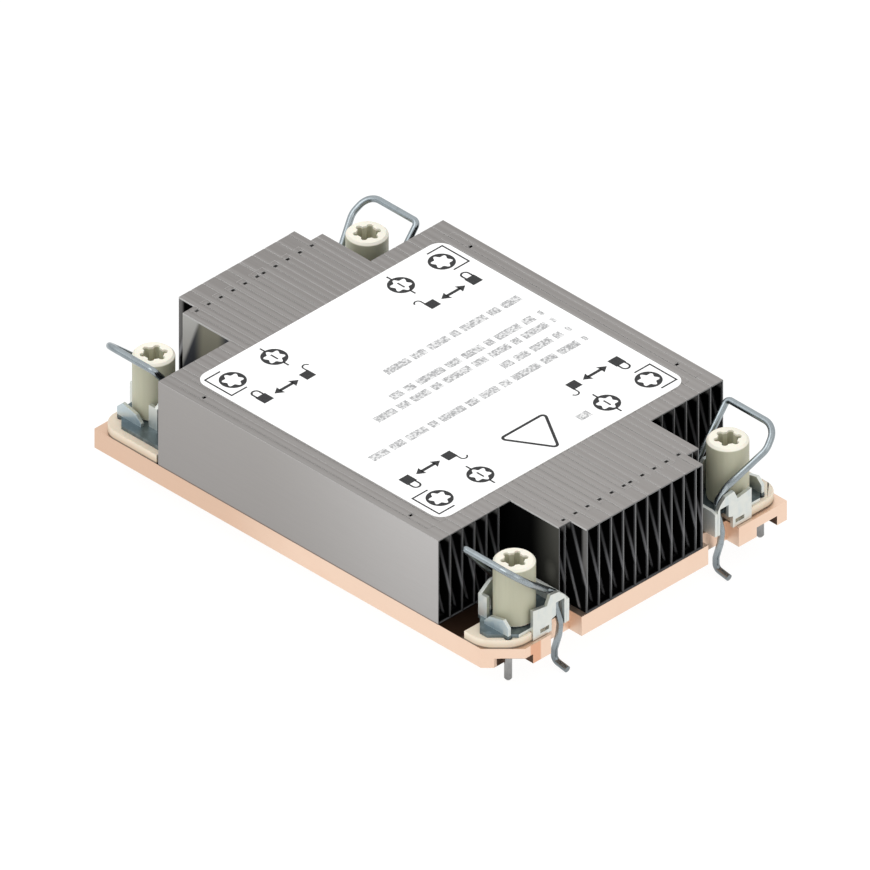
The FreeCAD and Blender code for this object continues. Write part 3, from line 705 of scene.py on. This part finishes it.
def film_finish(look):
    """Label film: white, faintly grained and a little glossy."""
    finish = Finish("label_film")
    grain = finish.noise(0.35 * MM)
    shade = finish.ramp(finish.noise(14 * MM), 0.35, 0.8)
    colour = finish.mix(shade * 0.1, look.film, darker(look.film, 0.95))
    return finish.close(finish.surface(colour, grain * 0.1 + 0.45, 0.0, finish.bump(grain, 0.002 * MM)))


def ink_finish(name, colour, ground, grain, low, high, share):
    """Printed ink in which the ground shows through in grains of one size, above the low and high marks."""
    finish = Finish(name)
    specks = finish.ramp(finish.noise(grain, detail=2.0), low, high)
    tint = finish.mix(specks * share, colour, ground)
    return finish.close(finish.surface(tint, specks * 0.1 + 0.5, specular=0.25))


def nut_finish(look):
    """Moulded resin with glass fibre in it: warm grey, fine flow lines down it and a pale rim and foot."""
    finish = Finish("nut_resin")
    flow = finish.noise(0.7 * MM, stretch=(1, 1, 16))
    grain = finish.noise(0.14 * MM, detail=2.0)
    rim = finish.ramp(finish.z, NUT_HIGH.z - 0.62 * MM, NUT_HIGH.z - 0.35 * MM)
    foot = finish.near(finish.z, FLANGE_TOP + 0.25 * MM, 0.2 * MM, 0.45 * MM)
    colour = finish.mix(finish.ramp(flow, 0.4, 0.8) * 0.22, look.resin, darker(look.resin, 0.78))
    colour = finish.mix(rim | foot * 0.45, colour, look.rim)
    normal = finish.bump(grain, 0.005 * MM)
    return finish.close(finish.surface(colour, grain * 0.14 + look.roughness, 0.0, normal, specular=0.4,
                                       subsurface=0.06, subsurface_scale=0.5 * MM))


def pad_finish(look):
    """Moulded cream resin, browner down its walls, with painted shade that darkens it towards -X and a
    painted dark contact shadow where it meets the copper.
    """
    finish = Finish("pad_resin")
    clouds = finish.ramp(finish.noise(3 * MM), 0.35, 0.75)
    grain = finish.noise(0.12 * MM, detail=2.0)
    low = finish.fall(finish.z, PAD_LOW.z + 0.3 * MM, PAD_HIGH.z - 0.1 * MM)
    # painted shade: darker towards -X
    shaded_end = finish.fall(finish.x, -20 * MM, 20 * MM)
    # painted contact shadow where the pad meets the copper
    seat = finish.fall(finish.z, PAD_LOW.z + 0.25 * MM, PAD_LOW.z + 0.5 * MM)
    colour = finish.mix(clouds * 0.1 + low * 0.65 + shaded_end * 0.2, look.resin, look.wall)
    colour = finish.mix(seat, colour, darker(look.wall, 0.33))
    normal = finish.bump(grain, 0.005 * MM)
    return finish.close(finish.surface(colour, grain * 0.15 + 0.42, 0.0, normal, specular=0.35,
                                       subsurface=0.06, subsurface_scale=0.5 * MM))


def zinc_finish(name, look, metal, flange):
    """Passivated zinc plate: pale walls with faint crystals, rolling lines and a cloudy blue tint. The tabs
    are bluer with a painted reflection, the flanges where asked are painted dark slate as shade, and
    painted shadow darkens the plating beside the fins."""
    finish = Finish(name)
    crystal = 0.9 * MM
    crystals = finish.node("ShaderNodeTexVoronoi", {"feature": "F1"},
                           {"Vector": finish.place, "Scale": 1 / crystal}, "Color")
    tone = finish.node("ShaderNodeSeparateColor", inputs={0: crystals})
    lines = finish.noise(0.12 * MM, stretch=(1, 1, 40), detail=2.0)
    clouds = finish.ramp(finish.noise(1.6 * MM, stretch=(1, 1, 2)), 0.45, 0.75)
    # painted reflection: the tabs are bluer
    on_tab = (TAB_SIDE - abs(finish.y)).between(-0.05 * MM, SHEET_GAUGE + 0.05 * MM)
    colour = finish.mix(tone * 0.12 + clouds * 0.35, look.zinc, look.tab_reflection_and_tint)
    colour = finish.mix(on_tab, colour, finish.mix(tone * 0.25, look.tab_reflection_and_tint, look.zinc))
    # painted shade: the flanges are dark slate
    if flange:
        on_flange = (finish.z < FLANGE_TOP + TOUCH) * (abs(finish.x) < WALL_FACE - CLOSE)
        colour = finish.mix(on_flange, colour, finish.mix(clouds * 0.25, look.flange, look.tab_reflection_and_tint))
    # painted shadow of the fin block on the plating beside it
    beside = finish.fall(abs(finish.x) - BLOCK_HIGH.x, 0.9 * MM, 1.3 * MM)
    colour = finish.mix(beside, colour, look.shadow)
    return finish.close(finish.surface(colour, tone * 0.08 + 0.34, metal, finish.bump(lines, 0.004 * MM)))


def steel_finish(name, colour, roughness, drawn=(1, 1, 1)):
    """Steel with fine scratches along its length, a little darker in them and towards its foot."""
    finish = Finish(name)
    scratches = finish.noise(0.09 * MM, stretch=drawn)
    smudges = finish.ramp(finish.noise(1.3 * MM), 0.45, 0.7)
    foot = finish.fall(finish.z, -4.5 * MM, 2 * MM)
    dark = finish.ramp(scratches, 0.4, 0.75) * 0.2 + smudges * 0.2 + foot * 0.6
    tone = finish.mix(dark, colour, darker(colour, 0.4))
    normal = finish.bump(scratches, 0.003 * MM)
    return finish.close(finish.surface(tone, scratches * 0.14 + roughness, 1.0, normal))


# The label's print, in millimetres from the label's centre


def mirrored(shape, sx, sy):
    """A flat shape turned over along X and Y by the signs."""
    points, faces = shape
    points = points * (sx, sy)
    return points, face_upwards(points, faces.copy())


def moved(shape, x, y):
    """A flat shape carried to another place."""
    points, faces = shape
    return points + (x, y), faces


def rectangle(x0, x1, y0, y1):
    """A flat rectangle between two places along X and two along Y."""
    return np.array([(x0, y0), (x1, y0), (x1, y1), (x0, y1)], float), np.array([[0, 1, 2, 3]])


def drive_sign(steps):
    """A dark disc with a six-lobed star left open: a band round the circle, from the star to the rim."""
    core, reach, disc = 1.55, 2.22, 2.75
    angle = np.linspace(0, 2 * math.pi, steps, endpoint=False)[:, None]
    share = np.array([[0.0, 0.5, 1.0]])
    inner = star(angle, core, reach)
    radius = inner + (disc - inner) * share
    points = np.stack([radius * np.cos(angle), radius * np.sin(angle)], axis=2).reshape(-1, 2)
    return points, grid_faces(steps, share.size, closed=True)


def arrow_sign():
    """A shaft along Y with a pointed and notched head at each end."""
    half_width, half_length = 0.36, 1.9
    shaft = rectangle(-half_width, half_width, -half_length, half_length)
    head = np.array([(0, 3.3), (-1.2, 1.5), (0, 1.65), (1.2, 1.5)])
    heads = [(head * (1, end), np.array([[0, 1, 2, 3]])) for end in (1, -1)]
    return join_grids([shaft] + heads)


def corner_signs(steps):
    """The signs of one label corner, drawn for the corner at +X and +Y: a drive under a bent line, a drive
    between dashes, a closed and an open lock, and the arrow from one to the other."""
    outer_drive = moved(drive_sign(steps), 28.5, 28.7)
    bent_line = [(24.9, 28.4), (24.9, 32.6), (32.3, 32.6), (32.3, 28.4)]
    inner_drive = moved(drive_sign(steps), 28.4, 17.4)
    dashes = [rectangle(start, end, 17.2, 17.6) for start, end in ((24.4, 25.8), (31.0, 32.4), (27.4, 29.4))]
    closed_lock = rectangle(18.4, 21.0, 27.4, 30.0)
    shackle = np.vstack([[(20.9, 27.85)], arc((22.0, 28.75), 0.9, -90, 90), [(20.9, 29.65)]])
    open_lock = rectangle(18.3, 20.7, 15.9, 18.4)
    hook = np.vstack([[(20.5, 16.15)], arc((21.6, 15.35), 0.8, 90, -80)])
    arrow = moved(arrow_sign(), 19.5, 22.9)
    return join_grids([outer_drive, band(bent_line, 0.38), inner_drive, *dashes, closed_lock,
                       band(shackle, 0.42), arrow, open_lock, band(hook, 0.34)])


def triangle_sign():
    """An empty triangle with rounded corners that points along +X."""
    radius, width = 0.7, 0.62
    corners = ((31.2, 0.0, -60, 60), (23.1, 5.0, 60, 180), (23.1, -5.0, 180, 300))
    line = np.vstack([arc((x, y), radius, start, end, 8) for x, y, start, end in corners])
    return band(line, width, closed=True)


def row_signs():
    """Rows of short grey bars, as long as words, along Y. Each row is its place along X and where it ends
    and starts. A mark stands before each of the long rows but the first."""
    rows = ((-9.25, -5.9, 30.8), (-2.4, -11.2, 27.8), (1.0, -18.8, 28.1), (5.25, 11.6, 27.9),
            (9.75, -28.8, 28.0), (28.3, 9.6, 12.6))
    words = (4.6, 2.7, 6.4, 1.9, 5.2, 3.5, 7.0, 2.3)
    half_width, space, shortest = 1.0, 1.0, 0.8
    bars = []
    for number, (x, low, high) in enumerate(rows):
        y = high
        word = number
        while y > low + shortest:
            long = min(words[word % len(words)], y - low)
            bars.append(rectangle(x - half_width, x + half_width, y - long, y))
            y -= long + space
            word += 1
    marks = [rectangle(x - 0.9, x + 0.7, 29.5, 30.4) for x, _, _ in rows[1:-1]]
    return join_grids(bars + marks)


def print_shape(name, shape, material, lift):
    """Lays flat shapes, given in millimetres, a hair above the label's film."""
    points, faces = shape
    faces = face_upwards(points, faces).tolist()
    height = np.full((len(points), 1), LABEL_HIGH.z + lift)
    make_piece(name, np.hstack([points * MM, height]), faces, material, "root", smooth=False)


# Operators


def kit():
    """The heatsink's settings in the scene."""
    return bpy.context.scene.heatsink


class HEATSINK_OT_base(bpy.types.Operator):
    """Finish the copper base"""

    bl_idname = "heatsink.base"
    bl_label = "Base"

    def execute(self, context):
        copper = kit().copper
        soften("base_plate", copper.edge, copper_finish(copper))
        return {"FINISHED"}


class HEATSINK_OT_fins(bpy.types.Operator):
    """Finish the fins of the block, the steps and the wings"""

    bl_idname = "heatsink.fins"
    bl_label = "Fins"

    def execute(self, context):
        fins = kit().fins
        ends = {"block": BLOCK_HIGH.x, "side": BLOCK_HIGH.x, "step": STEP_HIGH.x}
        finishes = {}
        for node in frame["nodes"]:
            if "_fin" not in node:
                continue
            end = next((x for word, x in ends.items() if word in node), WING_HIGH.x)
            if end not in finishes:
                name = "rolled_aluminium_%d" % round(end / MM)
                finishes[end] = fin_finish(name, fins, kit().wings, end)
            soften(node, fins.fold, finishes[end], segments=1)
        return {"FINISHED"}


class HEATSINK_OT_label(bpy.types.Operator):
    """Finish the label and lay its print"""

    bl_idname = "heatsink.label"
    bl_label = "Label"

    def execute(self, context):
        label = kit().label
        refinish("label_sheet", film_finish(label))
        ink = ink_finish("label_ink", label.ink, label.film, grain=0.12 * MM, low=0.62, high=0.8, share=0.2)
        grey = ink_finish("row_ink", label.rows, label.film, grain=0.42 * MM, low=0.36, high=0.64,
                          share=0.66)
        for corner, (sx, sy) in CORNERS.items():
            shape = mirrored(corner_signs(label.drive_steps), sx, sy)
            print_shape("print_" + corner, shape, ink, label.lift)
        print_shape("print_triangle", triangle_sign(), ink, label.lift)
        print_shape("print_rows", row_signs(), grey, label.lift)
        return {"FINISHED"}


class HEATSINK_OT_nuts(bpy.types.Operator):
    """Finish the captive nuts"""

    bl_idname = "heatsink.nuts"
    bl_label = "Nuts"

    def execute(self, context):
        nuts = kit().nuts
        finish = nut_finish(nuts)
        for corner in CORNERS:
            soften("nut_" + corner, nuts.edge, finish)
        return {"FINISHED"}


class HEATSINK_OT_pads(bpy.types.Operator):
    """Finish the ear pads"""

    bl_idname = "heatsink.pads"
    bl_label = "Ear pads"

    def execute(self, context):
        pads = kit().pads
        finish = pad_finish(pads)
        for corner in CORNERS:
            soften("ear_pad_" + corner, pads.edge, finish, segments=3, corner=pads.corner)
        return {"FINISHED"}


class HEATSINK_OT_steel(bpy.types.Operator):
    """Finish the brackets, wires, clips and pins, and add the brackets' side walls"""

    bl_idname = "heatsink.steel"
    bl_label = "Steel parts"

    def execute(self, context):
        steel = kit().steel
        zinc = zinc_finish("zinc_plate", steel, metal=0.8, flange=True)
        wall = zinc_finish("zinc_side_wall", steel, metal=0.2, flange=False)
        wire = steel_finish("drawn_wire", steel.wire, roughness=0.2)
        spring = steel_finish("spring_steel", steel.spring, roughness=0.3)
        pin = steel_finish("ground_pin", steel.pin, roughness=0.25, drawn=(1, 1, 20))
        for corner in CORNERS:
            soften("wire_bracket_" + corner, steel.bend, zinc)
            side_wall(corner, wall, steel.bend)
            refinish("wire_bail_" + corner, wire)
            refinish("nut_clip_" + corner, spring)
            refinish("guide_pin_" + corner, pin)
        return {"FINISHED"}


class HEATSINK_OT_stage(bpy.types.Operator):
    """Lay the floor and set the lights and the camera"""

    bl_idname = "heatsink.stage"
    bl_label = "Stage"

    def execute(self, context):
        stage = kit().stage
        scene = context.scene
        scene.view_settings.view_transform = "Standard"
        self.lay_floor(scene, stage)
        self.light_sky(scene, stage)
        self.add_panel_light(scene, "key_panel", place=(-0.15, -0.5, 0.55), size=0.5, power=1.3)
        self.add_panel_light(scene, "side_panel", place=(0.65, -0.05, 0.35), size=0.4, power=0.4)
        self.set_camera(scene, stage)
        return {"FINISHED"}

    def lay_floor(self, scene, stage):
        """A square floor just under the heatsink, with an even glow of its own."""
        half = 1.5
        height = cad_box[0].z - 0.05 * MM
        corners = [(-half, -half, height), (half, -half, height), (half, half, height),
                   (-half, half, height)]
        mesh = bpy.data.meshes.new("floor")
        mesh.from_pydata(corners, [], [(0, 1, 2, 3)])
        finish = Finish("pale_floor")
        surface = finish.surface(stage.floor, 0.9, specular=0.0, glow=(*WHITE, 1.0),
                                 glow_strength=stage.glow)
        mesh.materials.append(finish.close(surface))
        floor = bpy.data.objects.new("floor", mesh)
        scene.collection.objects.link(floor)

    def light_sky(self, scene, stage):
        """An even sky, brightest overhead, a little cool from -Y, a little warm from +X and white below."""
        world = bpy.data.worlds.new("studio")
        world.use_nodes = True
        sky = Tree(world.node_tree)
        x, y, z = sky.axes(sky.node("ShaderNodeTexCoord", output="Generated"))
        side = sky.mix(sky.ramp(x, 0.1, 1.0), stage.even, stage.warm)
        side = sky.mix(sky.ramp(-1 * y, 0.1, 1.0), side, stage.cool)
        below = sky.fall(z, -0.1, -0.03)
        colour = sky.mix(sky.ramp(z, 0.0, 0.7) | below, side, WHITE)
        strength = sky.ramp(z, -0.1, 0.8) * (stage.zenith - stage.horizon) + stage.horizon
        strength = strength + below * (stage.ground - stage.horizon)
        shine = sky.node("ShaderNodeBackground", inputs={0: colour, 1: strength})
        sky.node("ShaderNodeOutputWorld", inputs={0: shine}, output=None)
        scene.world = world

    def add_panel_light(self, scene, name, place, size, power):
        """A square panel light at a place in metres, turned towards the origin."""
        light = bpy.data.lights.new(name, "AREA")
        light.size = size
        light.energy = power
        lamp = bpy.data.objects.new(name, light)
        scene.collection.objects.link(lamp)
        lamp.location = place
        aim = -lamp.location
        lamp.rotation_euler = aim.to_track_quat("-Z", "Y").to_euler()

    def set_camera(self, scene, stage):
        """A parallel view, centred on the aim point moved along the view's own right and up directions."""
        turn, rise = stage.azimuth, stage.elevation
        back = np.array([math.sin(turn) * math.cos(rise), -math.cos(turn) * math.cos(rise), math.sin(rise)])
        right = np.array([math.cos(turn), math.sin(turn), 0])
        up = np.cross(back, right)
        centre = np.array([0, 0, stage.aim_height]) + right * stage.aim_right + up * stage.aim_up
        data = bpy.data.cameras.new("camera")
        data.type = "ORTHO"
        data.ortho_scale = stage.view_width
        camera = bpy.data.objects.new("camera", data)
        scene.collection.objects.link(camera)
        camera.location = centre + back * stage.distance
        camera.rotation_euler = (math.pi / 2 - rise, 0, turn)
        scene.camera = camera


OPERATORS = (HEATSINK_OT_base, HEATSINK_OT_fins, HEATSINK_OT_label, HEATSINK_OT_nuts, HEATSINK_OT_pads,
             HEATSINK_OT_steel, HEATSINK_OT_stage)


class HEATSINK_PT_panel(bpy.types.Panel):
    """A button for each group of pieces and one for the stage"""

    bl_label = "Heatsink"
    bl_idname = "HEATSINK_PT_panel"
    bl_space_type = "VIEW_3D"
    bl_region_type = "UI"
    bl_category = "Heatsink"

    def draw(self, context):
        for operator in OPERATORS:
            self.layout.operator(operator.bl_idname)


CLASSES = (CopperSettings, FinSettings, WingSettings, LabelSettings, NutSettings, PadSettings, SteelSettings,
           StageSettings, HeatsinkSettings, *OPERATORS, HEATSINK_PT_panel)


def register():
    for item in CLASSES:
        bpy.utils.register_class(item)
    bpy.types.Scene.heatsink = PointerProperty(type=HeatsinkSettings)


def unregister():
    del bpy.types.Scene.heatsink
    for item in reversed(CLASSES):
        bpy.utils.unregister_class(item)


def main():
    register()
    bpy.ops.heatsink.stage()
    bpy.ops.heatsink.base()
    bpy.ops.heatsink.fins()
    bpy.ops.heatsink.label()
    bpy.ops.heatsink.nuts()
    bpy.ops.heatsink.pads()
    bpy.ops.heatsink.steel()


if __name__ == "__main__":
    main()
